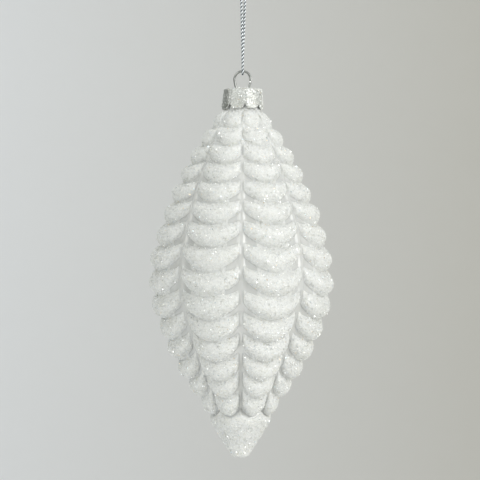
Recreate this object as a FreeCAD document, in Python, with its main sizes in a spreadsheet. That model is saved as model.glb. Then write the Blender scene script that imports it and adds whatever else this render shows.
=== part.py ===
import FreeCAD, Part
import math
import os

# Hanging icicle ornament: a mouth-blown glass body moulded with eight columns of swagged
# lobes, a stamped crown cap over its neck, a sprung wire hanger whose ring stands on the
# cap, and a doubled thread from the ring up to a knot.
#
# Millimetres, +Z up. The origin is the hanging point: where a hook's rod passes between
# the two runs of thread, just under the knot. Everything else hangs below it. The ring
# lies in the XZ plane, and a groove of the glass faces -Y.

os.makedirs("parts", exist_ok=True)
doc = FreeCAD.newDocument("icicle_ornament")
V = FreeCAD.Vector

# ---------------------------------------------------------------- driving dimensions

SIZES = [
    # hanging thread
    ("thread_thickness", 1.05, "diameter of the braided thread"),
    ("thread_drop", 45.0, "hanging point to the ring's top wire"),
    ("thread_fit", 0.15, "gap between the thread and the ring wire it goes round"),
    ("hook_gap", 1.45, "free width between the two runs, for the hook's rod"),
    ("hook_depth", 1.6, "how far below the hanging point the runs stand widest"),
    ("knot_width", 3.5, "overhand knot, across"),
    ("knot_rise", 2.6, "hanging point to the knot's middle"),
    ("knot_grip", 0.7, "how far each run goes into the knot"),
    ("tail_long", 3.2, "cut ends standing out of the knot"),
    ("tail_lean", 20.0, "each cut end leans out by this many degrees"),
    # wire hanger
    ("wire_thickness", 0.9, "hanger wire"),
    ("ring_width", 7.2, "ring, outside"),
    ("ring_tall", 7.5, "ring, from the cap up to its outside top"),
    ("ring_pinch", 0.55, "how far each side of the ring comes in to its leg"),
    ("leg_below", 3.2, "parallel stretch of each leg below the cap's hem"),
    ("leg_sprung", 16.0, "sprung stretch of each leg below that, upright"),
    ("leg_flare", 4.1, "how far out each sprung leg reaches"),
    ("leg_bend", 8.0, "radius of the bend where each leg flares"),
    ("wire_fit", 0.10, "radial gap between a leg and its hole in the cap"),
    # crown cap
    ("cap_tall", 7.8, "cap, top to the hem's lowest points"),
    ("cap_ease", 0.63, "gap between the neck and the cap's grooves, at the top"),
    ("cap_taper", 0.5, "how much wider the cap is at its hem, on each side"),
    ("cap_edge", 0.45, "rounding of the cap's top edge"),
    ("cap_metal", 0.35, "sheet metal"),
    ("petal_depth", 0.42, "groove between two petals"),
    ("petal_scallop", 1.3, "how far the hem rises between two petals"),
    ("petal_turn", 7.0, "petals turned from the glass's columns, degrees"),
    ("petals", 8, "petals round the cap"),
    # glass body
    ("columns", 8, "columns of lobes round the glass"),
    ("rows", 15, "rows of lobes"),
    ("rows_long", 118.0, "all rows, from the shoulder down"),
    ("widest_radius", 34.5, "crease between rows at the widest place, mid column"),
    ("widest_depth", 67.8, "shoulder to the widest place"),
    ("shoulder_step", 1.3, "how far the shoulder stands out from the neck"),
    ("last_radius", 10.5, "crease above the plain tip, mid column"),
    ("upper_curve", 1.67, "power of the curve from the shoulder to the widest place"),
    ("lower_curve", 1.53, "power of the curve from the widest place to the tip"),
    ("row_swell", 0.31, "how much taller the tallest row is than an end row"),
    ("row_swell_at", 7.5, "row where rows are tallest"),
    ("row_swell_spread", 3.0, "rows over which the height swells"),
    ("lobe_fullness", 0.32, "how far a lobe bulges, as a part of its row's height"),
    ("groove_depth", 2.9, "groove between two columns, at the widest place"),
    ("groove_fullness", 0.12, "part of a lobe's bulge that is left in the groove"),
    ("swag_first", 1.6, "how far the first row's lobes rise towards the grooves"),
    ("swag_last", 6.5, "the same in the last row"),
    ("tip_long", 16.8, "plain tip below the rows"),
    ("tip_swell", 3.1, "how far the plain tip swells out past a straight cone"),
    ("tip_swell_start", 0.08, "part of the tip's length in which that swelling begins"),
    ("tip_fade", 3.0, "power of the curve by which the tip loses the grooves"),
    ("tip_round_radius", 4.0, "rounded end, across half"),
    ("tip_round_tall", 2.0, "rounded end, along"),
    ("tip_flat_radius", 0.7, "small flat left where the tip is drawn off"),
    ("glass_wall", 1.0, "glass, measured across"),
    ("neck_radius", 6.2, "neck under the cap, outside"),
    ("neck_wall", 0.9, "neck glass"),
    ("seat_gap", 0.3, "gap between the cap and the glass it sits on"),
]

sheet = doc.addObject("Spreadsheet::Sheet", "Sizes")
for row, (alias, value, note) in enumerate(SIZES, start=1):
    sheet.set(f"A{row}", note)
    sheet.set(f"B{row}", str(value))
    sheet.setAlias(f"B{row}", alias)
doc.recompute()


def size(alias):
    return float(sheet.get(alias))


# ---------------------------------------------------------------- shared places

WIRE_Z = -size("thread_drop")
RING_RADIUS = (size("ring_width") - size("wire_thickness")) / 2
LEG_X = RING_RADIUS - size("ring_pinch")
CAP_TOP_RADIUS = (
    size("neck_radius") + size("cap_ease") + size("cap_metal") + size("petal_depth") / 2
)
SHOULDER_RADIUS = size("neck_radius") + size("shoulder_step")
CAP_TOP_Z = WIRE_Z + size("wire_thickness") / 2 - size("ring_tall")
CAP_HEM_Z = CAP_TOP_Z - size("cap_tall")
RIM_Z = CAP_TOP_Z - size("cap_metal") - size("seat_gap")
NECK_END_Z = CAP_HEM_Z - size("seat_gap")
SHOULDER_Z = NECK_END_Z - size("seat_gap") - size("cap_metal")

# ---------------------------------------------------------------- building helpers


def rounded_route(points, radii):
    """A wire of straight runs joined by tangent arcs, one radius for each inner point."""
    edges = []
    start = points[0]
    for before, corner, after, radius in zip(points, points[1:], points[2:], radii):
        arriving = (corner - before).normalize()
        leaving = (after - corner).normalize()
        half_turn = arriving.getAngle(leaving) / 2
        cut = radius * math.tan(half_turn)
        first = corner - arriving * cut
        last = corner + leaving * cut
        inward = (leaving - arriving).normalize()
        middle = corner + inward * (radius / math.cos(half_turn) - radius)
        edges.append(Part.LineSegment(start, first).toShape())
        edges.append(Part.Arc(first, middle, last).toShape())
        start = last
    edges.append(Part.LineSegment(start, points[-1]).toShape())
    return Part.Wire(edges)


def shape_feature(name, shape):
    feature = doc.addObject("Part::Feature", name)
    feature.Shape = shape
    feature.Placement = FreeCAD.Placement()
    return feature


def swept_rod(label, path_wire, diameter_alias):
    """A round rod or thread swept along a wire; its section is bound to the sheet."""
    path = shape_feature(label + "_path", path_wire)
    first_edge = path_wire.OrderedEdges[0]
    section = doc.addObject("Part::Circle", label + "_section")
    section.setExpression("Radius", f"Sizes.{diameter_alias} / 2")
    heading = first_edge.tangentAt(first_edge.FirstParameter)
    section.Placement = FreeCAD.Placement(
        path_wire.OrderedVertexes[0].Point, FreeCAD.Rotation(V(0, 0, 1), heading)
    )
    rod = doc.addObject("Part::Sweep", label)
    rod.Label = label
    rod.Sections = [section]
    rod.Spine = (path, [f"Edge{i + 1}" for i in range(len(path_wire.Edges))])
    rod.Solid = True
    rod.Frenet = False
    rod.Placement = FreeCAD.Placement()
    return rod


def lobed_ring(count, crest_radius, groove_radius, crest_z, groove_z, turn=0.0):
    """A closed wire of arcs, one for each lobe, from groove to groove over the crest."""
    step = 2 * math.pi / count
    start = math.radians(turn)

    def at(radius, angle, z):
        return V(radius * math.cos(angle), radius * math.sin(angle), z)

    edges = []
    for k in range(count):
        left = at(groove_radius, start + k * step, groove_z)
        crest = at(crest_radius, start + (k + 0.5) * step, crest_z)
        right = at(groove_radius, start + (k + 1) * step, groove_z)
        edges.append(Part.Arc(left, crest, right).toShape())
    return Part.Wire(edges)


# ---------------------------------------------------------------- hanging thread
# One thread: out of the knot, down one side of the hook, under the ring's top wire and
# back up. The two runs are pulled straight and make a quarter turn about each other, from
# side by side at the hook to fore and aft at the ring.

THREAD_BEND = (
    size("wire_thickness") / 2 + size("thread_fit") + size("thread_thickness") / 2
)
RUN_APART = (size("hook_gap") + size("thread_thickness")) / 2
RING_CORNERS = 4  # the half turn round the ring is shared by this many corners
BEND_CORNER = THREAD_BEND * math.tan(math.pi / RING_CORNERS / 2)
KNOT_X = (size("thread_thickness") + size("thread_fit")) / 2
KNOT_Z = size("knot_rise") - size("knot_width") / 2 + size("knot_grip")

thread_points = [
    V(-KNOT_X, 0, KNOT_Z),
    V(-RUN_APART, 0, -size("hook_depth")),
    V(0, -THREAD_BEND, WIRE_Z - BEND_CORNER),
    V(0, -BEND_CORNER, WIRE_Z - THREAD_BEND),
    V(0, BEND_CORNER, WIRE_Z - THREAD_BEND),
    V(0, THREAD_BEND, WIRE_Z - BEND_CORNER),
    V(RUN_APART, 0, -size("hook_depth")),
    V(KNOT_X, 0, KNOT_Z),
]


def largest_radii(points):
    """Each arc takes 0.45 of the shorter of its two runs."""
    radii = []
    for before, corner, after in zip(points, points[1:], points[2:]):
        shorter = min((corner - before).Length, (after - corner).Length)
        turn = (corner - before).getAngle(after - corner)
        radii.append(0.45 * shorter / math.tan(turn / 2))
    return radii


thread_radii = largest_radii(thread_points)
thread_wire = rounded_route(thread_points, thread_radii)
hanging_cord = swept_rod("hanging_cord", thread_wire, "thread_thickness")

# The knot, with the two cut ends standing out of its top.
knot_ball = doc.addObject("Part::Sphere", "knot_ball")
knot_ball.setExpression("Radius", "Sizes.knot_width / 2")
knot_ball.setExpression("Placement.Base.z", "Sizes.knot_rise")
knot_tails = []
for side in (-1, 1):
    tail = doc.addObject("Part::Cylinder", f"knot_tail_{len(knot_tails) + 1}")
    tail.setExpression("Radius", "Sizes.thread_thickness / 2")
    tail.setExpression("Height", "Sizes.knot_width / 2 + Sizes.tail_long")
    tail.Placement = FreeCAD.Placement(
        V(0, 0, size("knot_rise")),
        FreeCAD.Rotation(V(0, 1, 0), side * size("tail_lean")),
    )
    knot_tails.append(tail)
cord_knot = doc.addObject("Part::MultiFuse", "cord_knot")
cord_knot.Label = "cord_knot"
cord_knot.Shapes = [knot_ball, *knot_tails]

# ---------------------------------------------------------------- wire hanger
# The ring narrows in an S-bend to two legs, which pass down through the cap and the neck
# and flare out inside the glass. The flare is what holds the glass up.


def hanger_path():
    centre_z = WIRE_Z - RING_RADIUS
    shift = size("ring_pinch")
    fall = centre_z - CAP_TOP_Z
    bend = (fall**2 + shift**2) / (4 * shift)
    swing = math.asin(fall / 2 / bend)
    top = V(0, 0, WIRE_Z)
    slant = RING_RADIUS * math.sqrt(0.5)
    widest = V(RING_RADIUS, 0, centre_z)
    waist = V((RING_RADIUS + LEG_X) / 2, 0, centre_z - fall / 2)
    entry = V(LEG_X, 0, CAP_TOP_Z)
    flare_z = CAP_HEM_Z - size("leg_below")
    over = bend * (1 - math.cos(swing / 2))
    down = bend * math.sin(swing / 2)
    legs = rounded_route(
        [
            entry,
            V(LEG_X, 0, flare_z),
            V(LEG_X + size("leg_flare"), 0, flare_z - size("leg_sprung")),
        ],
        [size("leg_bend")],
    )
    half = [
        Part.Arc(top, V(slant, 0, centre_z + slant), widest).toShape(),
        Part.Arc(widest, V(RING_RADIUS - over, 0, centre_z - down), waist).toShape(),
        Part.Arc(waist, V(LEG_X + over, 0, CAP_TOP_Z + down), entry).toShape(),
        *legs.Edges,
    ]
    mirrored = [edge.mirror(V(0, 0, 0), V(1, 0, 0)) for edge in half]
    return Part.Wire(Part.__sortEdges__([*mirrored, *half]))


hanger_wire_path = hanger_path()
hanger_wire = swept_rod("hanger_wire", hanger_wire_path, "wire_thickness")

# ---------------------------------------------------------------- crown cap
# A cup of thin sheet, petalled round its side, with a scalloped hem. The loft runs down
# the outside, round the hem and up the inside, and its two flat ends are the top plate.


def cap_ring(radius, groove, z, rise):
    return lobed_ring(
        int(size("petals")), radius, radius - groove, z, z + rise, size("petal_turn")
    )


def cap_shape():
    metal = size("cap_metal")
    edge = size("cap_edge")
    top = CAP_TOP_RADIUS
    hem = CAP_TOP_RADIUS + size("cap_taper")
    groove = size("petal_depth")
    scallop = size("petal_scallop")
    rings = [
        cap_ring(top - edge, groove / 3, CAP_TOP_Z, 0),
        cap_ring(top, groove / 2, CAP_TOP_Z - edge, 0),
        cap_ring(hem, groove, CAP_HEM_Z, scallop),
        cap_ring(hem - metal, groove, CAP_HEM_Z, scallop),
        cap_ring(top - metal, groove / 2, CAP_TOP_Z - metal - edge, 0),
        cap_ring(top - metal - edge, groove / 3, CAP_TOP_Z - metal, 0),
    ]
    return Part.makeLoft(rings, True, True)


cap_cup = shape_feature("cap_cup", cap_shape())
leg_holes = []
for side in (-1, 1):
    leg_hole = doc.addObject("Part::Cylinder", f"leg_hole_{len(leg_holes) + 1}")
    leg_hole.setExpression("Radius", "Sizes.wire_thickness / 2 + Sizes.wire_fit")
    leg_hole.setExpression("Height", "Sizes.cap_metal * 3")
    leg_hole.setExpression(
        "Placement.Base.x",
        f"{side} * ((Sizes.ring_width - Sizes.wire_thickness) / 2 - Sizes.ring_pinch)",
    )
    leg_hole.setExpression(
        "Placement.Base.z",
        "Sizes.wire_thickness / 2 - Sizes.thread_drop - Sizes.ring_tall"
        " - 2 * Sizes.cap_metal",
    )
    leg_holes.append(leg_hole)
hole_pair = doc.addObject("Part::MultiFuse", "leg_hole_pair")
hole_pair.Shapes = leg_holes
crown_cap = doc.addObject("Part::Cut", "crown_cap")
crown_cap.Label = "crown_cap"
crown_cap.Base = cap_cup
crown_cap.Tool = hole_pair

# ---------------------------------------------------------------- glass body
# A thin wall, open only at the neck. Each ring of arcs is one height of one row: full
# over the middle of the columns, drawn in and raised at the grooves between them.

ARC_STEPS = 4  # rings for each row of lobes


def crease_radius(depth):
    """Radius at mid column of the creases between rows, at a depth below the shoulder."""
    widest = size("widest_radius")
    middle = size("widest_depth")
    if depth < middle:
        share = (1 - depth / middle) ** size("upper_curve")
        return widest - (widest - SHOULDER_RADIUS) * share
    share = ((depth - middle) / (size("rows_long") - middle)) ** size("lower_curve")
    return widest - (widest - size("last_radius")) * share


def crease_depths():
    """Depths of the creases, from the shoulder to the plain tip."""
    rows = int(size("rows"))
    weights = [
        1
        + size("row_swell")
        * math.exp(-(((i - size("row_swell_at")) / size("row_swell_spread")) ** 2))
        for i in range(rows)
    ]
    depths = [0.0]
    for weight in weights:
        depths.append(depths[-1] + weight / sum(weights) * size("rows_long"))
    return depths


def swag(depth):
    share = min(1.0, depth / size("rows_long"))
    return size("swag_first") + (size("swag_last") - size("swag_first")) * share


def row_sections():
    """(crest radius, groove radius, crest depth, rise at the groove) down all the rows."""
    sections = []
    depths = crease_depths()
    groove_share = size("groove_depth") / size("widest_radius")
    fade_depth = 2 * depths[1]
    for upper, lower in zip(depths, depths[1:]):
        tall = lower - upper
        wide = crease_radius(lower) - crease_radius(upper)
        chord = math.hypot(tall, wide)
        bulge = size("lobe_fullness") * chord
        for step in range(ARC_STEPS):
            along = step / ARC_STEPS
            out = bulge * (1 - (2 * along - 1) ** 2)
            line_radius = crease_radius(upper) + wide * along
            depth = upper + tall * along
            crest = line_radius + out * tall / chord
            groove = line_radius * (1 - groove_share)
            groove += out * size("groove_fullness")
            rise = swag(depth) * min(1.0, depth / fade_depth)
            sections.append((crest, groove, depth - out * wide / chord, rise))
    return sections


def tip_sections():
    """The plain tip: a swelling cone that loses the grooves, then a rounded end."""
    sections = []
    groove_share = size("groove_depth") / size("widest_radius")
    round_radius = size("tip_round_radius")
    cone_long = size("tip_long") - size("tip_round_tall")
    for along in (0.0, 0.1, 0.25, 0.5, 0.75, 1.0):
        swelling = (1 - along) * (1 - math.exp(-along / size("tip_swell_start")))
        radius = size("last_radius") + (round_radius - size("last_radius")) * along
        radius += size("tip_swell") * swelling
        fade = (1 - along) ** size("tip_fade")
        depth = size("rows_long") + cone_long * along
        groove = radius * (1 - groove_share * fade)
        sections.append((radius, groove, depth, size("swag_last") * fade))
    flat = math.asin(size("tip_flat_radius") / round_radius)
    for along in (0.4, 0.75, 1.0):
        angle = (math.pi / 2 - flat) * along
        radius = round_radius * math.cos(angle)
        depth = size("rows_long") + cone_long + size("tip_round_tall") * math.sin(angle)
        sections.append((radius, radius, depth, 0.0))
    return sections


def glass_ring(section, inset=0.0, lift=0.0):
    crest, groove, depth, rise = section
    z = SHOULDER_Z - depth + lift
    return lobed_ring(
        int(size("columns")), crest - inset, groove - inset, z, z + rise
    )


def plain_ring(radius, z):
    return lobed_ring(int(size("columns")), radius, radius, z, z)


def glass_shape():
    wall = size("glass_wall")
    neck = size("neck_radius")
    bore = neck - size("neck_wall")
    outer = [*row_sections(), *tip_sections()]
    inner = [section for section in outer if section[0] > size("tip_round_radius")]
    last = inner[-1]
    outside = [glass_ring(section) for section in reversed(outer)]
    inside = [glass_ring(section, wall) for section in inner]
    floor_radius = size("tip_round_radius") - wall
    floor_z = SHOULDER_Z - last[2] - size("tip_round_tall")
    return Part.makeLoft(
        [
            *outside,
            plain_ring(neck, NECK_END_Z),
            plain_ring(neck, RIM_Z - size("neck_wall") / 2),
            plain_ring((neck + bore) / 2, RIM_Z),
            plain_ring(bore, RIM_Z - size("neck_wall") / 2),
            plain_ring(bore, NECK_END_Z),
            *inside,
            plain_ring(floor_radius, floor_z),
        ],
        True,
        True,
    )


glass_body = shape_feature("glass_body", glass_shape())
glass_body.Label = "glass_body"

# ---------------------------------------------------------------- check and write

SUB_PARTS = [hanging_cord, cord_knot, hanger_wire, crown_cap, glass_body]
doc.recompute()
for thing in doc.Objects:
    if "Invalid" in thing.State or "Error" in thing.State:
        raise RuntimeError(f"{thing.Name} failed: {thing.State}")
for thing in SUB_PARTS:
    shape = thing.Shape
    if shape.isNull() or not shape.isValid() or len(shape.Solids) != 1:
        raise RuntimeError(f"{thing.Label} is not one valid solid")

print("thread arcs, radius in mm:", [round(r, 2) for r in thread_radii])
for rod, path_wire, thickness in (
    (hanging_cord, thread_wire, size("thread_thickness")),
    (hanger_wire, hanger_wire_path, size("wire_thickness")),
):
    straight = math.pi * thickness**2 / 4 * path_wire.Length
    print(f"{rod.Label}: {path_wire.Length:.1f} mm long, volume {rod.Shape.Volume:.2f}")
    print(f"  section times length {straight:.2f} mm3")
    if abs(rod.Shape.Volume / straight - 1) > 0.02:
        raise RuntimeError(f"{rod.Label} does not have the volume of its length")
for thing in SUB_PARTS:
    box = thing.Shape.BoundBox
    print(
        f"{thing.Label}: {box.XLength:.1f} x {box.YLength:.1f} x {box.ZLength:.1f} mm,"
        f" z {box.ZMin:.1f} to {box.ZMax:.1f}, volume {thing.Shape.Volume:.0f} mm3"
    )
    thing.Shape.exportStep(f"parts/{thing.Label}.step")
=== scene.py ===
# %% [markdown]
# # A glass icicle ornament, hung by a silver thread
#
# The ornament is blown into a mould with eight columns of swagged lobes. It is silvered
# pearl white inside, and its lobes are rolled in glue and fine glitter. A stamped crown
# cap sits over the neck, a sprung wire holds it there, and a metallic thread runs from
# the wire's ring up to a knot. The CAD model fixes every size and every joint. Here each
# piece is rebuilt finer, in metres, in the same place, and given its finish.

import math

import bpy
import numpy as np
from mathutils import Matrix, Vector


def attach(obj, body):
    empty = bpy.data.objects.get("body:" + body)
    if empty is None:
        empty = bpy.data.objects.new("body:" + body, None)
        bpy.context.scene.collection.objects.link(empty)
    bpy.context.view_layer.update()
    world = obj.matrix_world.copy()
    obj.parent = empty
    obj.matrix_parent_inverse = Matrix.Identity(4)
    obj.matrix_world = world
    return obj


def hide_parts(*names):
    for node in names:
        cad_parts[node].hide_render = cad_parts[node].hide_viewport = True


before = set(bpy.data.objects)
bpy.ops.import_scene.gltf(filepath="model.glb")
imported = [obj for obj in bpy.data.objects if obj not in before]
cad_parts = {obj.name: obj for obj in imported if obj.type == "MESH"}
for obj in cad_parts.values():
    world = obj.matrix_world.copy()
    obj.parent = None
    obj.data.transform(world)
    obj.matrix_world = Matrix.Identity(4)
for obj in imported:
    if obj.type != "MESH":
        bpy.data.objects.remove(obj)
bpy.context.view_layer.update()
MM = 0.001

# %% [markdown]
# The thread comes first, because everything hangs from it. A doubled thread pulled taut
# could be drawn as a plain tube, but a bare tube hides that it is twisted. So one smooth
# spline gives the line that the thread follows, and the twisted strands are laid round
# that line. The route goes out of the knot, down one side of the hook, under the ring's
# top wire and back up.

# %% The route of the thread
ROUTE = [
    (-0.6, 0, 1.55),
    (-1.25, 0, -1.6),
    (-0.02, -1.125, -39.2),
    (0, -1.125, -45.466),
    (0, -0.466, -46.125),
    (0, 0.466, -46.125),
    (0, 1.125, -45.466),
    (0.02, 1.125, -39.2),
    (1.25, 0, -1.6),
    (0.6, 0, 1.55),
]


def smooth_line(name, points, steps):
    """Points in metres along a NURBS spline. Its control points are given in millimetres."""
    curve = bpy.data.curves.new(name, "CURVE")
    curve.dimensions = "3D"
    spline = curve.splines.new("NURBS")
    spline.points.add(len(points) - 1)
    for knot, place in zip(spline.points, points):
        knot.co = (*(Vector(place) * MM), 1)
    spline.order_u = 3
    spline.use_endpoint_u = True
    spline.resolution_u = steps
    holder = bpy.data.objects.new(name, curve)
    bpy.context.scene.collection.objects.link(holder)
    bpy.context.view_layer.update()
    evaluated = holder.evaluated_get(bpy.context.evaluated_depsgraph_get())
    mesh = bpy.data.meshes.new_from_object(evaluated)
    line = np.array([v.co for v in mesh.vertices], float)
    bpy.data.objects.remove(holder)
    bpy.data.meshes.remove(mesh)
    bpy.data.curves.remove(curve)
    return line


def fade_in(value, start, stop):
    """0 before start, 1 after stop, and a smooth step between."""
    share = np.clip((value - start) / (stop - start), 0, 1)
    return share * share * (3 - 2 * share)


def length_of(line):
    return float(np.linalg.norm(np.diff(line, axis=0), axis=1).sum())


def reach_along(line):
    """How far along the line each of its points lies."""
    return np.concatenate([[0], np.cumsum(np.linalg.norm(np.diff(line, axis=0), axis=1))])


def evenly(line, spacing):
    """The same line with points about this far apart."""
    reach = reach_along(line)
    stops = np.linspace(0, reach[-1], max(2, round(reach[-1] / spacing) + 1))
    return np.stack([np.interp(stops, reach, line[:, k]) for k in range(3)], axis=1)


POINT_SPACING = 0.16 * MM
thread_line = evenly(smooth_line("thread_route", ROUTE, 48), POINT_SPACING)
print("thread line", round(length_of(thread_line) / MM, 2), "mm,", len(thread_line), "points")

# %% [markdown]
# Two helpers turn numbers into meshes. A skin joins closed rings of points one after
# another, which suits a shell or a cup. A rod is a skin whose rings stand square to a
# line. The frames along the line are carried from point to point without twisting.

# %% Mesh helpers


def unit(vectors):
    return vectors / np.maximum(np.linalg.norm(vectors, axis=-1, keepdims=True), 1e-12)


def skin_faces(rings, around, first=0):
    """Quads between rings of points, and a fan over each end."""
    k = np.arange(around)
    after = (k + 1) % around
    quads = []
    for r in range(rings - 1):
        low, high = first + r * around, first + (r + 1) * around
        quads.append(np.stack([low + k, low + after, high + after, high + k], axis=1))
    ends = (first + rings * around, first + rings * around + 1)
    last = first + (rings - 1) * around
    start_fan = np.stack([np.full(around, ends[0]), first + after, first + k], axis=1)
    end_fan = np.stack([np.full(around, ends[1]), last + k, last + after], axis=1)
    return [*np.concatenate(quads).tolist(), *start_fan.tolist(), *end_fan.tolist()]


def make_piece(name, points, faces, smooth=True):
    mesh = bpy.data.meshes.new(name)
    mesh.from_pydata(np.asarray(points).tolist(), [], faces)
    mesh.polygons.foreach_set("use_smooth", [smooth] * len(mesh.polygons))
    mesh.update()
    piece = bpy.data.objects.new(name, mesh)
    bpy.context.scene.collection.objects.link(piece)
    return piece


def skin(name, rings, start, end):
    """A closed mesh through rings (rings x around x 3), closed to a point at each end."""
    rings = np.asarray(rings)
    points = np.concatenate([rings.reshape(-1, 3), [start, end]])
    return make_piece(name, points, skin_faces(rings.shape[0], rings.shape[1]))


def paint(piece, name, values):
    """Stores one number for each point, which a material can read."""
    attribute = piece.data.attributes.new(name, "FLOAT", "POINT")
    attribute.data.foreach_set("value", np.asarray(values, np.float32))


FRAME_START = (0.31, 0.95, 0.05)  # a heading that none of the lines begins along


def frames_along(line):
    """(tangent, side, up) at each point, carried along without twist."""
    tangent = unit(np.gradient(line, axis=0))
    side = np.zeros_like(line)
    side[0] = unit(np.cross(tangent[0], FRAME_START))
    for i in range(1, len(line)):
        carried = side[i - 1] - tangent[i] * np.dot(side[i - 1], tangent[i])
        side[i] = carried / np.linalg.norm(carried)
    return tangent, side, np.cross(tangent, side)


def rod_rings(line, radii, sides):
    """Rings round a line, one for each of its points."""
    _, side, up = frames_along(line)
    turn = np.arange(sides) * 2 * math.pi / sides
    outward = side[:, None] * np.cos(turn)[None, :, None] + up[:, None] * np.sin(turn)[None, :, None]
    return line[:, None] + outward * np.broadcast_to(radii, len(line))[:, None, None]


print("mesh helpers ready")

# %% [markdown]
# ## The twisted thread
#
# Ornament thread of this kind is two plies of silver foil yarn twisted together, so dark
# gaps follow each other down it at half the pitch. Each ply is a rod laid on a helix
# round the route. A number stored on each point says how deep it lies between the plies,
# and the finish paints shade there: the colour is darkened where one ply faces the other.

# %% Twist the thread
PLIES = 2
PLY_PITCH = 2.9 * MM
PLY_RADIUS = 0.285 * MM
PLY_OFFSET = 0.24 * MM
PLY_SIDES = 12
CUT_END_SHARE = 0.55  # the last ring of a cut end, as a share of the full radius


def twisted(name, line, ply_radius):
    """Plies twisted round a line, each a closed rod with rounded ends."""
    tangent, side, up = frames_along(line)
    reach = reach_along(line)
    points, faces, painted_gap_shade, along = [], [], [], []
    for ply in range(PLIES):
        angle = 2 * math.pi * (reach / PLY_PITCH + ply / PLIES)
        outward = side * np.cos(angle)[:, None] + up * np.sin(angle)[:, None]
        centre = line + outward * PLY_OFFSET
        radii = np.full(len(line), ply_radius)
        radii[[0, -1]] *= CUT_END_SHARE
        rings = rod_rings(centre, radii, PLY_SIDES)
        first = sum(len(p) for p in points)
        past_end = ply_radius / 2
        ends = [centre[0] - tangent[0] * past_end, centre[-1] + tangent[-1] * past_end]
        points.append(np.concatenate([rings.reshape(-1, 3), ends]))
        faces += skin_faces(len(line), PLY_SIDES, first)
        # painted shade: 1 on the side of a ply that faces the other ply, where shade falls between them
        facing = (unit(rings - centre[:, None]) * outward[:, None]).sum(-1)
        painted_gap_shade.append(np.concatenate([np.clip(0.5 - facing * 0.5, 0, 1).ravel(), [1, 1]]))
        along.append(np.concatenate([np.repeat(reach, PLY_SIDES), [0, reach[-1]]]) / MM)
    piece = make_piece(name, np.concatenate(points), faces)
    paint(piece, "painted_gap_shade", np.concatenate(painted_gap_shade))
    paint(piece, "along", np.concatenate(along))
    return piece


thread = twisted("thread", thread_line, PLY_RADIUS)
print("thread faces", len(thread.data.polygons))

# %% [markdown]
# The two ends are tied in an overhand knot above the hook. It is drawn as what it is:
# a line that loops round and passes through itself, followed by the same twisted yarn,
# with the two cut ends standing out of the top.

# %% Tie the knot
KNOT_PLY_RADIUS = 0.24 * MM  # the yarn is pulled thinner in the knot
KNOT_TURNS = [
    (-0.55, 0.1, 1.2),
    (-0.5, 0.75, 1.9),
    (0.3, 1.15, 2.6),
    (1.1, 0.55, 3.2),
    (0.85, -0.65, 3.35),
    (-0.1, -1.15, 2.75),
    (-1.05, -0.6, 2.1),
    (-0.95, 0.6, 2.05),
    (0.1, 0.95, 2.3),
    (1.15, 0.35, 2.2),
    (0.75, -0.75, 2.0),
    (-0.25, -0.85, 2.2),
    (-0.55, -0.2, 2.9),
    (-0.35, 0.05, 3.9),
    (-0.85, 0.02, 5.4),
    (-1.55, 0, 7.2),
]


def mirrored(points):
    """The same turns for the other run: half a turn round the knot's upright line."""
    return [(-x, -y, z) for x, y, z in points]


knot_runs = [
    twisted(f"knot_run_{i}", evenly(smooth_line("knot_route", turns, 24), POINT_SPACING), KNOT_PLY_RADIUS)
    for i, turns in enumerate((KNOT_TURNS, mirrored(KNOT_TURNS)))
]


def join(name, pieces):
    """One object from several, which keeps their stored numbers."""
    with bpy.context.temp_override(
        active_object=pieces[0], selected_editable_objects=pieces, object=pieces[0]
    ):
        bpy.ops.object.join()
    pieces[0].name = name
    pieces[0].data.name = name
    return pieces[0]


knot = join("knot", knot_runs)
print("knot faces", len(knot.data.polygons))

# %% [markdown]
# ## The wire hanger
#
# One piece of tinned wire makes the ring and both sprung legs. A rod along arcs and
# straight runs is all it needs, but its cut ends are rounded over and its ring carries
# some of the glitter.

# %% Bend the wire
WIRE_RADIUS = 0.45
WIRE_Z = -45.0
RING_RADIUS = 3.15
LEG_X = 2.6
CAP_TOP_Z = -52.05
CAP_HEM_Z = -59.85
LEG_BEND = 8.0
LEG_FLARE = (4.1, 16.0)  # how far a leg goes out and down past its bend
FLARE_BELOW_HEM = 3.2
WIRE_SIDES = 20


def arc(centre, radius, start, end, steps):
    """Points in the XZ plane; angles in degrees from +X towards +Z."""
    turn = np.radians(np.linspace(start, end, steps))
    return np.stack(
        [centre[0] + radius * np.cos(turn), np.zeros(steps), centre[1] + radius * np.sin(turn)], axis=1
    )


def half_hanger():
    """From the ring's top, down the +X side, to the cut end."""
    centre_z = WIRE_Z - RING_RADIUS
    fall = centre_z - CAP_TOP_Z
    shift = RING_RADIUS - LEG_X
    bend = (fall**2 + shift**2) / (4 * shift)
    swing = math.degrees(math.asin(fall / 2 / bend))
    flare_z = CAP_HEM_Z - FLARE_BELOW_HEM
    lean = math.degrees(math.atan2(*LEG_FLARE))
    cut = LEG_BEND * math.tan(math.radians(lean / 2))
    return np.concatenate(
        [
            arc((0, centre_z), RING_RADIUS, 90, 0, 28),
            arc((RING_RADIUS - bend, centre_z), bend, 0, -swing, 10)[1:],
            arc((LEG_X + bend, CAP_TOP_Z), bend, 180 - swing, 180, 10)[1:],
            arc((LEG_X + LEG_BEND, flare_z + cut), LEG_BEND, 180, 180 + lean, 10),
            [(LEG_X + LEG_FLARE[0], 0, flare_z - LEG_FLARE[1])],
        ]
    )


right_half = half_hanger()
left_half = right_half[:0:-1] * (-1, 1, 1)
hanger_line = evenly(np.concatenate([left_half, right_half]) * MM, 0.3 * MM)
end_rounding = np.ones(len(hanger_line))
end_rounding[[0, -1]] = CUT_END_SHARE
end_rounding[[1, -2]] = 0.88
hanger_rings = rod_rings(hanger_line, WIRE_RADIUS * MM * end_rounding, WIRE_SIDES)
hanger = skin("hanger", hanger_rings, hanger_line[0], hanger_line[-1])
print("wire", round(length_of(hanger_line) / MM, 1), "mm")

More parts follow.
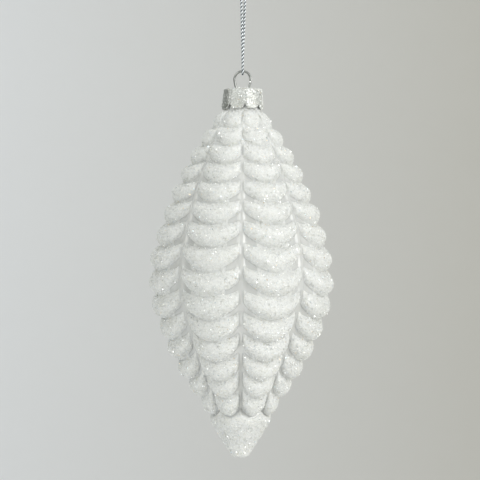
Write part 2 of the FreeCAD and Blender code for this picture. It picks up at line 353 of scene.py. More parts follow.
# %% [markdown]
# ## The crown cap
#
# The cap is pressed from thin aluminium: a flat top with a rounded edge, eight petals
# down the side, and a hem cut into scallops with a sharp notch between each two. A
# revolved profile can't have petals, so the profile is a list of rings whose radius and
# height change with the angle. The two holes for the wire are cut with a boolean.

# %% Press the cap
PETALS = 8
PETAL_TURN = math.radians(7.0)
PETAL_STEPS = 26
CAP_AROUND = PETALS * PETAL_STEPS
CAP_TOP_RADIUS, CAP_HEM_RADIUS = 7.39, 7.89
EDGE_ROUND = 0.45
NOTCH_TALL = 2.3
GROOVE_DEEP = 0.3
FLATNESS = 0.45  # 0 for round petals, 1 for flat ones
SHEET = 0.35
SIDE_STEPS = 16
TOP_PROFILE = ((0.6, 0.1), (2.0, 0.1), (4.0, 0.1), (4.9, 0.12), (5.5, 0.02), (6.0, 0.0), (6.5, 0.0))
CEILING_CORNER = ((CAP_TOP_RADIUS - SHEET, 0.8), (CAP_TOP_RADIUS - 0.55, 0.55), (CAP_TOP_RADIUS - 0.9, 0.46))
CEILING_PROFILE = (*CEILING_CORNER, (4.0, 0.46), (1.0, 0.46))


def petal_place(turn):
    """-1 in the groove at one side of a petal, 0 over its middle, 1 at the other side."""
    return 2 * ((turn - PETAL_TURN) * PETALS / (2 * math.pi) % 1.0) - 1


def cap_rings():
    """Rings out over the top, down the petals, round the hem and up the inside."""
    turn = np.arange(CAP_AROUND) * 2 * math.pi / CAP_AROUND
    place = petal_place(turn)
    facet_scale = math.cos(math.radians(12))
    facet = facet_scale / np.cos(place * math.pi / PETALS) - facet_scale
    groove = np.exp(-(((1 - np.abs(place)) / 0.13) ** 2))
    notch = np.clip((np.abs(place) - 0.35) / 0.65, 0, 1) ** 2.2
    rows = []

    def ring(radius, petal, z, rise=0.0):
        """One ring; petal is 0 for a plain circle and 1 for full petals, rise lifts the notches."""
        reach = radius * (1 + FLATNESS * petal * facet) - GROOVE_DEEP * petal * groove
        rows.append(np.stack([reach * np.cos(turn), reach * np.sin(turn), z + rise * notch], axis=1))

    def side(down, inward):
        """A ring of the side, down from 0 under the rounded edge to 1 at the hem."""
        z = CAP_TOP_Z - EDGE_ROUND - (CAP_TOP_Z - CAP_HEM_Z - EDGE_ROUND) * down
        belly = 0.12 * math.sin(math.pi * down)
        radius = CAP_TOP_RADIUS + (CAP_HEM_RADIUS - CAP_TOP_RADIUS) * down**1.3 + belly
        ring(radius - inward, 0.6 + 0.4 * down, z, NOTCH_TALL * fade_in(down, 0.35, 1.0))

    for radius, dip in TOP_PROFILE:
        ring(radius, 0.0, CAP_TOP_Z - dip)
    for k in range(6):
        lean = math.pi / 2 * k / 5
        edge_radius = CAP_TOP_RADIUS - EDGE_ROUND + EDGE_ROUND * math.sin(lean)
        ring(edge_radius, 0.15 + 0.45 * k / 5, CAP_TOP_Z - EDGE_ROUND + EDGE_ROUND * math.cos(lean))
    for k in range(1, SIDE_STEPS + 1):
        side(k / SIDE_STEPS, 0.0)
    for radius in (CAP_HEM_RADIUS - 0.1, CAP_HEM_RADIUS - SHEET + 0.1):
        ring(radius, 1.0, CAP_HEM_Z - 0.08, NOTCH_TALL)
    for k in range(SIDE_STEPS, 0, -2):
        side(k / SIDE_STEPS, SHEET)
    for radius, dip in CEILING_PROFILE:
        ring(radius, 0.3, CAP_TOP_Z - dip)
    return np.array(rows) * MM


cap_points = cap_rings()
cap = skin("cap", cap_points, (0, 0, (CAP_TOP_Z - 0.1) * MM), (0, 0, (CAP_TOP_Z - 0.46) * MM))


def cut_holes(piece, cutters):
    """Takes the cutters out of the piece for good."""
    for cutter in cutters:
        cut = piece.modifiers.new("cut", "BOOLEAN")
        cut.operation = "DIFFERENCE"
        cut.object = cutter
        cut.solver = "EXACT"
    bpy.context.view_layer.update()
    evaluated = piece.evaluated_get(bpy.context.evaluated_depsgraph_get())
    finished = bpy.data.meshes.new_from_object(evaluated)
    piece.modifiers.clear()
    piece.data = finished
    for cutter in cutters:
        bpy.data.objects.remove(cutter)


def upright_pin(x, radius, low, high):
    line = np.array([(x, 0, low), (x, 0, (low + high) / 2), (x, 0, high)]) * MM
    return skin("pin", rod_rings(line, radius * MM, WIRE_SIDES), line[0], line[-1])


HOLE_RADIUS = WIRE_RADIUS + 0.1
cut_holes(cap, [upright_pin(x, HOLE_RADIUS, CAP_TOP_Z - 1.5, CAP_TOP_Z + 1) for x in (-LEG_X, LEG_X)])
print("cap faces", len(cap.data.polygons))

# %% [markdown]
# ## The glass
#
# The body is one thin wall. Its height is divided into fifteen rows of lobes, and its
# round into eight columns. Each lobe is a fat swag: it bulges between an upper and a
# lower crease, hangs lowest over the middle of its column, and narrows and rises to a
# smooth channel at each side. Sculpting 120 lobes by hand would take days, so a formula
# places every point from its row, its share of the row's height and its angle. Small
# seeded differences keep the lobes from looking machined.

# %% Sizes of the glass
COLUMNS, ROWS = 8, 15
ROWS_LONG = 118.0
SHOULDER_Z = -60.80
SHOULDER_RADIUS = 7.5
WIDEST_RADIUS, WIDEST_DEPTH = 34.5, 67.8
LAST_RADIUS = 10.5
UPPER_CURVE, LOWER_CURVE = 1.67, 1.53
LOBE_FULLNESS = 0.325
GROOVE_SHARE = 0.085
CHANNEL_FLOOR = 1.5
DOWN_THE_ROWS = (0, 0.3, 0.5, 0.7, 0.85, 1)
SWAG = (1.2, 1.6, 2.8, 4.2, 4.4, 3.4)
BARE_AT_CHANNEL = (0.2, 0.34, 0.43, 0.38, 0.27, 0.18)
FLATTER_ROWS = {0: 0.5, 1: 0.8, 12: 0.93, 13: 0.87, 14: 0.72}
ALL_GLUE_ROWS = {0: 1, 1: 0.75, 2: 0.4}
TALLER_ROWS, TALLEST_ROW, TALLER_SPREAD = 0.31, 7.5, 3.0
LOBE_HEM = 0.97  # how far down its row a lobe reaches at mid column
LOBE_END = 0.97  # how far a lobe reaches from mid column towards the channel
CHANNEL_SOFTNESS = 0.35
FLOOR_LIFT = 0.9  # the channels grow shallower over the lowest rows
ROUND_SHARE = 0.3  # of a lobe's profile, the share that is round and not parabolic
TOP_HEAVY = 1.12
TIP_LONG, TIP_SWELL, TIP_SWELL_START = 16.8, 3.1, 0.08
TIP_ROUND, TIP_END_RADIUS = 2.0, 4.0
WALL = 1.0
NECK_RADIUS, NECK_BORE = 6.2, 5.3
RIM_Z, NECK_END_Z = -52.70, -60.15
rng = np.random.default_rng(20)


def crease_radius(depth):
    """Mid-column radius of the creases between rows, at a depth below the shoulder."""
    upper = max(0.0, 1 - depth / WIDEST_DEPTH) ** UPPER_CURVE
    lower = max(0.0, (depth - WIDEST_DEPTH) / (ROWS_LONG - WIDEST_DEPTH)) ** LOWER_CURVE
    narrowed = (WIDEST_RADIUS - SHOULDER_RADIUS) * upper + (WIDEST_RADIUS - LAST_RADIUS) * lower
    return WIDEST_RADIUS - narrowed


row_weights = 1 + TALLER_ROWS * np.exp(-(((np.arange(ROWS) - TALLEST_ROW) / TALLER_SPREAD) ** 2))
CREASES = np.concatenate([[0], np.cumsum(row_weights) / row_weights.sum() * ROWS_LONG])
print("row heights in mm", np.round(np.diff(CREASES), 2))

# %% Where the points stand round the glass
COLUMN_STEPS, LOBE_STEPS, BARE_STEPS = 32, 14, 4


def crowded(count, strength):
    """Numbers from 0 to 1, closer together near both ends."""
    even = np.arange(count) / count
    return even - strength * np.sin(2 * math.pi * even) / (2 * math.pi)


around_places = (np.arange(COLUMNS)[:, None] + crowded(COLUMN_STEPS, 0.4)).ravel()
AROUND = len(around_places)
turn = around_places * 2 * math.pi / COLUMNS
column = around_places.astype(int)
column_middle = (column + 0.5) * 2 * math.pi / COLUMNS
off_middle = 2 * (around_places % 1.0) - 1


def column_arc(crest, groove):
    """(reach, sideways, arc angle) of a column's arc from groove to groove, seen from above."""
    half = math.pi / COLUMNS
    side, base = groove * math.sin(half), groove * math.cos(half)
    tall = crest - base
    radius = (side**2 + tall**2) / (2 * tall)
    angle = off_middle * np.arctan2(side, radius - tall)
    return crest - radius * (1 - np.cos(angle)), radius * np.sin(angle), angle


def smooth_max(first, second, blend):
    return np.logaddexp(first / blend, second / blend) * blend


def laid_round(reach, sideways, z):
    """Turns each column's arc into place round the upright axis."""
    x = reach * np.cos(column_middle) - sideways * np.sin(column_middle)
    y = reach * np.sin(column_middle) + sideways * np.cos(column_middle)
    return np.stack([x, y, np.broadcast_to(z, x.shape)], axis=1)


def plain_ring(radius, z):
    return np.stack([radius * np.cos(turn), radius * np.sin(turn), np.full(AROUND, z)], axis=1)


print("points round the glass", AROUND)

# %% [markdown]
# A lobe starts at its row's upper crease. At mid column it takes nearly the whole row, but its
# lower edge climbs towards the channels like the hem of a swag, so a lozenge of smooth
# glass shows between the ends of four lobes. The rings of points follow that edge, which
# keeps it crisp. The frost mask is worked out beside each point. Glue covers the lobes and
# the creases at mid column, and misses the lozenges, the channels and the creases' ends.
# The top three rows have more of it, and the topmost is coated all over.

# %% The rows of lobes
lobe_size = 1 + 0.06 * rng.standard_normal((ROWS, COLUMNS))
lobe_drop = 0.25 * rng.standard_normal((ROWS, COLUMNS))
lobe_lean = 0.35 * rng.standard_normal((ROWS, COLUMNS))
outside, frost = [], []


def down_rows(table, share):
    return float(np.interp(share, DOWN_THE_ROWS, table))


def lobe_ring(row, step):
    """(points, frost) of a ring. Step goes 0 to 1 down the lobe, then 1 to 2 down the bare glass."""
    upper, lower = CREASES[row], CREASES[row + 1]
    tall, wide = lower - upper, crease_radius(lower) - crease_radius(upper)
    chord = math.hypot(tall, wide)
    share = (upper + tall * min(step, 1)) / ROWS_LONG
    outer = np.abs(off_middle)
    hem = LOBE_HEM - down_rows(BARE_AT_CHANNEL, share) * outer**1.8
    along = hem * min(step, 1) + (1 - hem) * max(step - 1, 0)
    depth = upper + tall * along
    crest = crease_radius(upper) + wide * along
    groove = crest * (1 - GROOVE_SHARE)
    reach, sideways, angle = column_arc(crest, groove)
    floor = groove * math.cos(math.pi / COLUMNS) + CHANNEL_FLOOR * crest / WIDEST_RADIUS
    floor = floor + FLOOR_LIFT * fade_in(share, 0.65, 0.95)
    reach = smooth_max(reach, floor, CHANNEL_SOFTNESS)
    swag = down_rows(SWAG, share) * min(1, depth.min() / (2 * CREASES[1]) + 0.15)
    rise = swag * outer ** (2.0 - 0.3 * share)
    rise = rise + (lobe_lean[row][column] * off_middle - lobe_drop[row][column]) * np.sin(math.pi * along)
    full = 1 - (2 * min(step, 1) ** TOP_HEAVY - 1) ** 2
    profile = ROUND_SHARE * math.sqrt(full) + (1 - ROUND_SHARE) * full
    ends = np.clip(1 - (outer / LOBE_END) ** 4, 0, 1) ** 0.75
    out = LOBE_FULLNESS * chord * profile * ends * lobe_size[row][column] * FLATTER_ROWS.get(row, 1)
    reach = reach + out * np.cos(angle) * tall / chord
    sideways = sideways + out * np.sin(angle) * tall / chord
    points = laid_round(reach, sideways, SHOULDER_Z - (depth - out * wide / chord) + rise)
    glue = np.maximum(fade_in(full, 0.0, 0.12), 1 - fade_in(outer, 0.4, 0.65))
    glue = glue * fade_in(LOBE_END - outer, 0.0, 0.08)
    return points, np.maximum(glue, ALL_GLUE_ROWS.get(row, 0))


for row in range(ROWS):
    for step in (*crowded(LOBE_STEPS, 0.5), *(1 + np.arange(BARE_STEPS) / BARE_STEPS)):
        points, glue = lobe_ring(row, step)
        outside.append(points)
        frost.append(glue)
print("rings on the rows", len(outside))

# %% [markdown]
# Below the last crease the glass swells once more and runs down to a rounded tip, where
# it was drawn off the blower's pipe. The channels die away there.

# %% The plain tip
cone_long = TIP_LONG - TIP_ROUND
for along in np.linspace(0, 1, 18):
    swelling = TIP_SWELL * (1 - along) * (1 - math.exp(-along / TIP_SWELL_START))
    radius = LAST_RADIUS + (TIP_END_RADIUS - LAST_RADIUS) * along + swelling
    fade = (1 - along) ** 5
    reach, sideways, _ = column_arc(radius, radius * (1 - GROOVE_SHARE * fade))
    flat = np.hypot(reach, sideways)
    rounder = 1 + (radius / flat - 1) * min(1, along / 0.15)
    rise = SWAG[-1] * fade * np.abs(off_middle) ** 1.7
    z = SHOULDER_Z - ROWS_LONG - cone_long * along + rise
    outside.append(laid_round(reach * rounder, sideways * rounder, z))
    frost.append(np.ones(AROUND) * fade_in(along, 0.0, 0.12))
for along in np.linspace(0.08, 0.97, 10):
    angle = math.pi / 2 * along
    radius = TIP_END_RADIUS * math.cos(angle)
    z = SHOULDER_Z - ROWS_LONG - cone_long - TIP_ROUND * math.sin(angle)
    outside.append(plain_ring(radius, z))
    frost.append(np.ones(AROUND))
outside = np.array(outside)
frost = np.array(frost)
print("outside", outside.shape, "widest", round(float(np.hypot(outside[..., 0], outside[..., 1]).max()), 2))

# %% Close the shell
LIP = 0.45
neck = [plain_ring(NECK_BORE, NECK_END_Z - 0.4)]
neck += [plain_ring(NECK_BORE, z) for z in (NECK_END_Z + 1, RIM_Z - 1.5, RIM_Z - LIP)]
middle = (NECK_RADIUS + NECK_BORE) / 2
half = (NECK_RADIUS - NECK_BORE) / 2
for k in range(1, 7):
    angle = math.pi * k / 7
    neck.append(plain_ring(middle - half * math.cos(angle), RIM_Z - LIP + half * math.sin(angle)))
neck += [plain_ring(NECK_RADIUS, z) for z in (RIM_Z - LIP, RIM_Z - 3)]
FLARE = ((6.25, -57.4), (6.4, -58.3), (6.65, -59.1), (6.95, -59.8), (7.25, -60.35))
flare = [plain_ring(radius, z) for radius, z in FLARE]

# The inside is never seen close to, so only some of the outside's rings are followed in it.
row_rings = LOBE_STEPS + BARE_STEPS
followed = [row * row_rings + k for row in range(ROWS) for k in (0, 5, 10, LOBE_STEPS)]
followed += [ROWS * row_rings + k for k in (0, 3, 6, 9, 12)]
inner_rows = outside[followed]
flat = np.hypot(inner_rows[..., 0], inner_rows[..., 1])
shrink = (flat - WALL) / flat
inside = inner_rows * np.stack([shrink, shrink, np.ones_like(shrink)], axis=-1)
inside = inside[::-1]

shell_rings = np.concatenate([inside, neck, flare, outside]) * MM
glass = skin(
    "glass_shell",
    shell_rings,
    (0, 0, shell_rings[0][:, 2].mean()),
    (0, 0, shell_rings[-1][:, 2].mean() - 0.02 * MM),
)
shell_frost = np.zeros(shell_rings.shape[:2])
shell_frost[-len(outside) :] = frost
shell_frost[-len(outside) - len(flare) : -len(outside)] = 1
point_frost = np.concatenate([shell_frost.ravel(), [0, 1]])
paint(glass, "frost", point_frost)
print("glass faces", len(glass.data.polygons))

# %% [markdown]
# ## Glitter
#
# The glitter is crushed glass held by glue: thousands of splinters, each with its own
# few flat sides. A bump pattern would sparkle in one place only and leave a smooth
# outline, so every splinter is a small closed solid sunk part way into the surface. They
# are scattered by area, and only where there was glue: the frost mask says so on the
# glass, and a rule of place says so on the cap and the ring.

# %% Scatter the splinters
GRAINS = {  # how many, with the smallest and largest size in millimetres
    "glitter_glass": (49500, 0.42, 0.86),
    "glitter_fine": (49500, 0.28, 0.50),
    "glitter_cap": (6500, 0.25, 0.5),
    "glitter_ring": (110, 0.28, 0.5),
}
GRAIN_KINDS = [0, 1, 2, 3, 4]  # white, silver, grey, cool and warm, as listed under the finishes
GRAIN_SHARES = [0.61, 0.17, 0.18, 0.03, 0.01]
DULL, DULL_SHARE = 5, 0.30
STAND_OFF = 0.12  # from the surface to a splinter's middle, as a share of its size
WAVES = 7
WAVE_LONG = (6, 14)  # millimetres
CORNERS = np.array([(1, 1, 1), (1, -1, -1), (-1, 1, -1), (-1, -1, 1)], float) / math.sqrt(3)


def mesh_triangles(piece):
    mesh = piece.data
    mesh.calc_loop_triangles()
    corner = np.zeros(len(mesh.loop_triangles) * 3, int)
    mesh.loop_triangles.foreach_get("vertices", corner)
    place = np.zeros(len(mesh.vertices) * 3)
    mesh.vertices.foreach_get("co", place)
    return place.reshape(-1, 3), corner.reshape(-1, 3)


def random_turns(count):
    """Random rotation matrices, from random quaternions."""
    w, x, y, z = unit(rng.standard_normal((count, 4))).T
    return np.stack(
        [
            np.stack([1 - 2 * (y * y + z * z), 2 * (x * y - z * w), 2 * (x * z + y * w)], axis=1),
            np.stack([2 * (x * y + z * w), 1 - 2 * (x * x + z * z), 2 * (y * z - x * w)], axis=1),
            np.stack([2 * (x * z - y * w), 2 * (y * z + x * w), 1 - 2 * (x * x + y * y)], axis=1),
        ],
        axis=1,
    )


wave_headings = unit(rng.standard_normal((WAVES, 3)))
wave_lengths = rng.uniform(*WAVE_LONG, (WAVES, 1)) * MM
wave_headings = wave_headings * 2 * math.pi / wave_lengths
wave_starts = rng.uniform(0, 2 * math.pi, WAVES)


def worn_patches(spots):
    """0 to 1, in soft patches some millimetres wide where the glitter has lost its sparkle."""
    return fade_in(np.sin(spots @ wave_headings.T + wave_starts).sum(axis=1) / WAVES, 0.0, 0.45)


def scatter(name, piece, share_at):
    """Splinters on a piece; share_at(middles, normals, corners) says how likely glue is on each triangle."""
    count, small, large = GRAINS[name][0], GRAINS[name][1] * MM, GRAINS[name][2] * MM
    place, corner = mesh_triangles(piece)
    a, b, c = (place[corner[:, k]] for k in range(3))
    across = np.cross(b - a, c - a)
    area = np.linalg.norm(across, axis=1) / 2
    middle = (a + b + c) / 3
    chance = area * share_at(middle, unit(across), corner)
    pick = rng.choice(len(area), size=count, p=chance / chance.sum())
    u, v = rng.random((2, count))
    over = u + v > 1
    u[over], v[over] = 1 - u[over], 1 - v[over]
    spot = a[pick] + (b[pick] - a[pick]) * u[:, None] + (c[pick] - a[pick]) * v[:, None]
    normal = unit(across[pick])
    grain = small + (large - small) * rng.random(count) ** 1.6
    stretch = 0.55 + 0.9 * rng.random((count, 1, 3))
    solid = CORNERS[None] * stretch * grain[:, None, None] / 2
    solid = np.einsum("nij,nkj->nki", random_turns(count), solid)
    solid += (spot + normal * grain[:, None] * STAND_OFF)[:, None]
    first = np.arange(count)[:, None, None] * 4
    sides = np.array([(0, 1, 2), (0, 3, 1), (0, 2, 3), (1, 3, 2)])
    faces = (first + sides[None]).reshape(-1, 3)
    grains = make_piece(name, solid.reshape(-1, 3), faces.tolist(), smooth=False)
    kind = rng.choice(GRAIN_KINDS, size=count, p=GRAIN_SHARES)
    kind[rng.random(count) < DULL_SHARE * worn_patches(spot)] = DULL
    return grains, np.repeat(kind, 4)


def glue_on_glass(middle, normal, corner):
    return point_frost[corner].mean(axis=1) ** 1.5


glass_glitter, glass_kinds = scatter("glitter_glass", glass, glue_on_glass)
fine_glitter, fine_kinds = scatter("glitter_fine", glass, glue_on_glass)

CLEAR_OF_HOLES = 6.4 * MM
BARE_PETAL, BARE_SPREAD = -62, 26  # heading and spread in degrees; 0 faces the viewer
GLITTER_RING_TOP = -46.5 * MM


def glue_on_cap(middle, normal, corner):
    """Outside the petals and over the top edge, but for one bare petal. The wire's holes stay clear."""
    outward = (normal * middle * (1, 1, 0)).sum(axis=1) > 0
    near_edge = np.hypot(middle[:, 0], middle[:, 1]) > CLEAR_OF_HOLES
    heading = np.degrees(np.arctan2(middle[:, 0], -middle[:, 1]))
    bare = np.exp(-(((heading - BARE_PETAL) / BARE_SPREAD) ** 2))
    return outward * near_edge * (1 - 0.97 * bare)


cap_glitter, cap_kinds = scatter("glitter_cap", cap, glue_on_cap)


def glue_on_ring(middle, normal, corner):
    """The right side of the ring, from the cap's top up to a little under the ring's top."""
    x, z = middle[:, 0], middle[:, 2]
    return ((x > 2.2 * MM) & (z > CAP_TOP_Z * MM) & (z < GLITTER_RING_TOP)) * 1.0


ring_glitter, ring_kinds = scatter("glitter_ring", hanger, glue_on_ring)
print("splinters", sum(len(k) for k in (glass_kinds, fine_kinds, cap_kinds, ring_kinds)) // 4)

# %% [markdown]
# ## Finishes
#
# Every finish is a small network of nodes. To keep it readable, one class wraps a socket
# and lets the maths be written as sums, and one method makes any other node.

# %% Writing shader maths as sums


class Signal:
    """A socket's output in a material, which adds a Math node for each sum."""

    def __init__(self, finish, socket):
        self.finish = finish
        self.socket = socket

    def _sum(self, operation, first, second):
        return self.finish.node("ShaderNodeMath", {"operation": operation}, {0: first, 1: second})

    def __add__(self, other):
        return self._sum("ADD", self, other)

    __radd__ = __add__

    def __mul__(self, other):
        return self._sum("MULTIPLY", self, other)

    __rmul__ = __mul__

    def __sub__(self, other):
        return self._sum("SUBTRACT", self, other)

    def __rsub__(self, other):
        return self._sum("SUBTRACT", other, self)

    def __pow__(self, other):
        return self._sum("POWER", self, other)

    def __gt__(self, other):
        return self._sum("GREATER_THAN", self, other)


class Finish:
    """A new material and the nodes put into it."""

    def __init__(self, name):
        self.material = bpy.data.materials.new(name)
        self.material.use_nodes = True
        self.tree = self.material.node_tree
        self.shader = self.tree.nodes["Principled BSDF"]

    def node(self, kind, settings=None, inputs=None, output=0):
        """Adds a node: its settings first, then a value or a link for each socket."""
        made = self.tree.nodes.new(kind)
        for key, value in (settings or {}).items():
            setattr(made, key, value)
        self.plug(made, inputs or {})
        return Signal(self, made.outputs[output])

    def plug(self, node, inputs):
        for key, value in inputs.items():
            if isinstance(value, Signal):
                self.tree.links.new(value.socket, node.inputs[key])
            else:
                node.inputs[key].default_value = value

    def surface(self, inputs):
        self.plug(self.shader, inputs)
        return self.material

    def stored(self, name):
        return self.node("ShaderNodeAttribute", {"attribute_name": name}, output=2)

    def mix(self, share, first, second):
        """A colour between two, by share."""
        first, second = ((*c, 1) if isinstance(c, tuple) else c for c in (first, second))
        return self.node(
            "ShaderNodeMix", {"data_type": "RGBA"}, {0: share, 6: first, 7: second}, output=2
        )

    def vector(self, operation, first, second=None, scale=None):
        inputs = {0: first}
        if second is not None:
            inputs[1] = second
        if scale is not None:
            inputs[3] = scale
        return self.node("ShaderNodeVectorMath", {"operation": operation}, inputs)

    def place(self):
        return self.node("ShaderNodeTexCoord", output=3)

    def noise(self, scale, detail):
        inputs = {"Vector": self.place(), "Scale": scale, "Detail": detail}
        return self.node("ShaderNodeTexNoise", None, inputs)

    def cells(self, scale):
        """A random colour for each of many small cells."""
        inputs = {"Vector": self.place(), "Scale": scale}
        return self.node("ShaderNodeTexVoronoi", {"feature": "F1"}, inputs, output=1)

    def bump(self, height, strength, distance):
        inputs = {"Height": height, "Strength": strength, "Distance": distance}
        return self.node("ShaderNodeBump", None, inputs)

    def channels(self, kind, inputs):
        """The three outputs of a node that takes a colour or a vector apart."""
        first = self.node(kind, None, inputs)
        return [first, *(Signal(self, first.socket.node.outputs[k]) for k in (1, 2))]


print("shader tools ready")

# %% [markdown]
# **Pearl glass under frost.** Where there is no glue the glass is smooth, glossy and
# slightly grey, like the inside of a shell. On the lobes, glue and dust make it matt and
# white, and the finest splinters, too small to model, are cells of a Voronoi pattern:
# each tilts the surface its own way and some are as bright as foil.

# %% Pearl and frost


def pearl_and_frost():
    finish = Finish("pearl_glass")
    frost_mask = finish.stored("frost")
    patchy = finish.noise(420, 3)
    covered = finish.node(
        "ShaderNodeMapRange",
        None,
        {"Value": frost_mask + (patchy - 0.5) * 0.5, "From Min": 0.3, "From Max": 0.62},
    )
    cell = finish.cells(2600)
    cell_value, cell_other, _ = finish.channels("ShaderNodeSeparateColor", {"Color": cell})
    warm = finish.noise(28, 2)
    pearl = finish.mix(warm, (0.60, 0.61, 0.59), (0.70, 0.70, 0.68))
    dust = finish.mix(warm, (0.82, 0.83, 0.80), (0.89, 0.89, 0.87))
    speck = finish.mix(cell_value**3.0 * 0.5, dust, (0.62, 0.63, 0.61))
    foil = (cell_other > 0.9) * covered
    tilted = finish.vector("SUBTRACT", cell, (0.5, 0.5, 0.5))
    normal = finish.node("ShaderNodeNewGeometry", output=1)
    lean = finish.vector("SCALE", tilted, scale=covered * 0.75)
    splinter_normal = finish.vector("NORMALIZE", finish.vector("ADD", normal, lean))
    return finish.surface(
        {
            "Base Color": finish.mix(covered, pearl, speck),
            "Roughness": 0.16 + covered * (0.3 + cell_value * 0.2),
            "Metallic": foil * 0.8,
            "Coat Weight": 0.9 - covered * 0.9,
            "Coat Roughness": 0.06,
            "Normal": splinter_normal,
            "Subsurface Weight": 0.4,
            "Subsurface Scale": 0.002,
            "Subsurface Radius": (1.0, 0.95, 0.85),
        }
    )


glass.data.materials.append(pearl_and_frost())
print("nodes in the glass finish", len(glass.active_material.node_tree.nodes))

# %% [markdown]
# **Splinters.** Each splinter is one clean colour, so six finishes are dealt out to
# them: white glass, silvered glass, a darker silver, a few that throw a warm or a cool
# glint, and dull ones that gather in soft patches.

# %% Splinter finishes
SPLINTERS = [
    ("splinter_white", (0.92, 0.93, 0.91), 0.0, 0.2),
    ("splinter_silver", (0.93, 0.94, 0.93), 1.0, 0.16),
    ("splinter_grey", (0.70, 0.71, 0.67), 1.0, 0.3),
    ("splinter_cool", (0.78, 0.88, 0.93), 0.9, 0.1),
    ("splinter_warm", (0.96, 0.78, 0.55), 0.9, 0.1),
    ("splinter_dull", (0.70, 0.71, 0.64), 0.0, 0.45),
]
splinter_finishes = []
for name, colour, metal, rough in SPLINTERS:
    finish = Finish(name)
    splinter_finishes.append(
        finish.surface({"Base Color": (*colour, 1), "Metallic": metal, "Roughness": rough})
    )
for grains, kinds in (
    (glass_glitter, glass_kinds),
    (fine_glitter, fine_kinds),
    (cap_glitter, cap_kinds),
    (ring_glitter, ring_kinds),
):
    for material in splinter_finishes:
        grains.data.materials.append(material)
    grains.data.polygons.foreach_set("material_index", kinds.astype(np.int32))
print("splinter finishes", len(splinter_finishes))

# %% [markdown]
# ** Cap, wire and thread.** The cap is aluminium with fine upright brushing from the
# press. The wire is tinned and a little dull. The thread is foil yarn with a fine winding
# across it. It is bright where it stands proud, and shade is painted dark into its colour
# where the plies meet.

# %% Metal and thread


def brushed_cap():
    finish = Finish("brushed_aluminium")
    upright = finish.node(
        "ShaderNodeMapping", None, {"Vector": finish.place(), "Scale": (5200.0, 5200.0, 260.0)}
    )
    lines = finish.node("ShaderNodeTexNoise", None, {"Vector": upright, "Scale": 1.0, "Detail": 3.0})
    smudge = finish.noise(300, 3)
    colour = finish.mix(lines, (0.46, 0.47, 0.44), (0.70, 0.71, 0.69))
    return finish.surface(
        {
            "Base Color": finish.mix(smudge * 0.35, colour, (0.6, 0.61, 0.58)),
            "Metallic": 1.0,
            "Roughness": 0.3 + smudge * 0.15 + lines * 0.12,
            "Normal": finish.bump(lines, 0.25, 0.0001),
        }
    )


def tinned_wire():
    finish = Finish("tinned_wire")
    mottle = finish.noise(900, 4)
    return finish.surface(
        {
            "Base Color": finish.mix(mottle, (0.22, 0.23, 0.22), (0.52, 0.53, 0.51)),
            "Metallic": 1.0,
            "Roughness": 0.12 + mottle * 0.15,
            "Normal": finish.bump(mottle, 0.2, 0.0001),
        }
    )


def foil_yarn():
    finish = Finish("foil_yarn")
    painted_gap_shade = finish.stored("painted_gap_shade")
    along = finish.stored("along")
    winding = finish.node("ShaderNodeMath", {"operation": "SINE"}, {0: along * 21.0}) * 0.5 + 0.5
    # painted shade: where the plies face each other the colour goes dark, and the metal and gloss drop
    shade = finish.node(
        "ShaderNodeMapRange",
        {"interpolation_type": "SMOOTHSTEP"},
        {"Value": painted_gap_shade, "From Min": 0.16, "From Max": 0.5},
    )
    bright = finish.mix(winding, (0.70, 0.76, 0.80), (0.92, 0.95, 0.97))
    return finish.surface(
        {
            "Base Color": finish.mix(shade, bright, (0.05, 0.06, 0.07)),
            "Metallic": 0.85 - shade * 0.5,
            "Roughness": 0.25 + winding * 0.1 + shade * 0.4,
            "Normal": finish.bump(winding, 0.3, 0.00008),
        }
    )


cap.data.materials.append(brushed_cap())
hanger.data.materials.append(tinned_wire())
yarn = foil_yarn()
thread.data.materials.append(yarn)
knot.data.materials.clear()
knot.data.materials.append(yarn)
print("materials", len(bpy.data.materials))

# %% [markdown]
# ## Joining the looks to the frame
#
# Each piece rides on the body that carries it, and stands for the CAD node that it
# refines, so the ring still swings, the wire still lifts and the glass still turns.

# %% Ride and replace
RIDES = [
    (thread, "thread", "hanging_cord", "silver_thread"),
    (knot, "thread", "cord_knot", "silver_thread"),
    (hanger, "hanger", "hanger_wire", "wire"),
    (cap, "cap", "crown_cap", "cap_metal"),
    (glass, "glass", "glass_body", "frosted_glass"),
    (glass_glitter, "glass", None, "frosted_glass"),
    (fine_glitter, "glass", None, "frosted_glass"),
    (cap_glitter, "cap", None, "cap_metal"),
    (ring_glitter, "hanger", None, "wire"),
]
for piece, body, node, slot in RIDES:
    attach(piece, body)
    if node:
        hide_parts(node)
print("riding", len(RIDES))

# %% [markdown]
# ## Studio
#
# The ornament hangs in front of a pale sweep that stands well back from it. Light is
# painted into the sweep's colour: light and cool at the left, darker and warm at the right,
# and a little darker towards the floor. The light is soft: a large panel at the right and a
# little above, a weaker one high on the left, a faint one overhead and one from below, in a
# pale surrounding. A dark card at the left, which the camera doesn't see, gives the metal
# something to mirror.

# %% Backdrop


FLOOR_Z, WALL_Y, SWEEP_RADIUS = -0.9, 1.8, 1.2


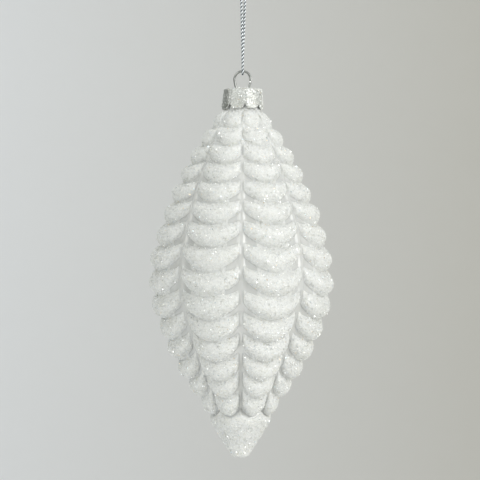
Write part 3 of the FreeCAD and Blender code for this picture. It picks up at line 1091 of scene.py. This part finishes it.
def backdrop():
    """A floor that sweeps up into a wall behind the ornament."""
    bend_y = WALL_Y - SWEEP_RADIUS
    profile = [(-1.2, FLOOR_Z), (-0.3, FLOOR_Z), (bend_y, FLOOR_Z)]
    for k in range(1, 13):
        angle = math.pi / 2 * k / 12
        rise = SWEEP_RADIUS * (1 - math.cos(angle))
        profile.append((bend_y + SWEEP_RADIUS * math.sin(angle), FLOOR_Z + rise))
    profile += [(WALL_Y, 1.4), (WALL_Y, 2.6)]
    xs = np.linspace(-3.2, 3.2, 9)
    points = [(x, y, z) for y, z in profile for x in xs]
    wide = len(xs)
    faces = [
        (r * wide + k, r * wide + k + 1, (r + 1) * wide + k + 1, (r + 1) * wide + k)
        for r in range(len(profile) - 1)
        for k in range(wide - 1)
    ]
    sweep = make_piece("backdrop", points, faces)
    finish = Finish("backdrop_painted_light")
    across, _, height = finish.channels("ShaderNodeSeparateXYZ", {"Vector": finish.place()})
    # painted light: across the sweep the colour runs from light and cool at the left to darker and warm at
    # the right
    share = finish.node("ShaderNodeMapRange", None, {"Value": across, "From Min": -0.35, "From Max": 0.35})
    # painted shade: the colour is a little darker towards the floor
    painted_light_height = finish.node("ShaderNodeMapRange", None, {"Value": height, "From Min": -0.4, "From Max": 0.1})
    grain = finish.noise(40, 3)
    # the paper's colour with the painted light and shade in it
    paper_and_painted_light = finish.mix(share + (grain - 0.5) * 0.04, (0.88, 0.895, 0.915), (0.635, 0.622, 0.577))
    sweep.data.materials.append(
        finish.surface(
            {
                "Base Color": finish.vector("SCALE", paper_and_painted_light, scale=0.94 + painted_light_height * 0.06),
                "Roughness": 0.9,
                "Specular IOR Level": 0.1,
            }
        )
    )


backdrop()
print("backdrop", WALL_Y, "m behind the ornament")

# %% Lights
OBJECT_MIDDLE = Vector((0, 0, -0.125))


def panel(name, place, wide, tall, power, colour=(1, 1, 1)):
    light = bpy.data.lights.new(name, "AREA")
    light.shape = "RECTANGLE"
    light.size, light.size_y = wide, tall
    light.energy = power
    light.color = colour
    holder = bpy.data.objects.new(name, light)
    holder.location = place
    holder.rotation_euler = (OBJECT_MIDDLE - Vector(place)).to_track_quat("-Z", "Y").to_euler()
    holder.visible_camera = False
    bpy.context.scene.collection.objects.link(holder)


CARD_MIDDLE = Vector((-0.44, 0.1, -0.055))
CARD_ACROSS, CARD_UP = Vector((0.22, 0.975, 0)) * 0.24, Vector((0, 0, 0.12))


def dark_card():
    """A dark card at the left, out of view, for the metal and the left edges to mirror."""
    signs = ((-1, -1), (1, -1), (1, 1), (-1, 1))
    corners = [CARD_MIDDLE + CARD_ACROSS * a + CARD_UP * b for a, b in signs]
    card = make_piece("dark_card", [tuple(c) for c in corners], [(0, 1, 2, 3)])
    finish = Finish("dark_felt")
    felt = finish.noise(300, 2)
    colour = finish.mix(felt, (0.05, 0.055, 0.035), (0.08, 0.085, 0.06))
    card.data.materials.append(finish.surface({"Base Color": colour, "Roughness": 1.0}))
    card.visible_camera = False


panel("key", (0.85, -0.65, 0.25), 0.6, 0.8, 6.0, (1.0, 0.995, 0.985))
panel("fill", (-0.8, -0.9, 0.65), 0.8, 0.6, 3.0, (1.0, 1.0, 0.95))
panel("overhead", (0.1, 0.0, 0.8), 0.5, 0.5, 0.8)
panel("from_below", (0.0, -0.6, -0.85), 0.9, 0.6, 2.6)
dark_card()

world = bpy.data.worlds.new("studio")
world.use_nodes = True
surrounding = world.node_tree.nodes["Background"].inputs
surrounding["Color"].default_value = (0.70, 0.715, 0.70, 1)
surrounding["Strength"].default_value = 0.94
bpy.context.scene.world = world
bpy.context.scene.view_settings.view_transform = "Standard"
print("lights", [light.name for light in bpy.data.lights])

# %% Camera
CAMERA_FAR = 0.8
LENS = 153.8
camera_data = bpy.data.cameras.new("camera")
camera_data.lens = LENS
camera_data.sensor_width = 36.0
camera = bpy.data.objects.new("camera", camera_data)
camera.matrix_world = (
    Matrix.Translation((-0.0006, -CAMERA_FAR, -0.11085))
    @ Matrix.Rotation(math.radians(90), 4, "X")
    @ Matrix.Rotation(math.radians(0.38), 4, "Z")
)
bpy.context.scene.collection.objects.link(camera)
bpy.context.scene.camera = camera
print("camera", tuple(camera.location))
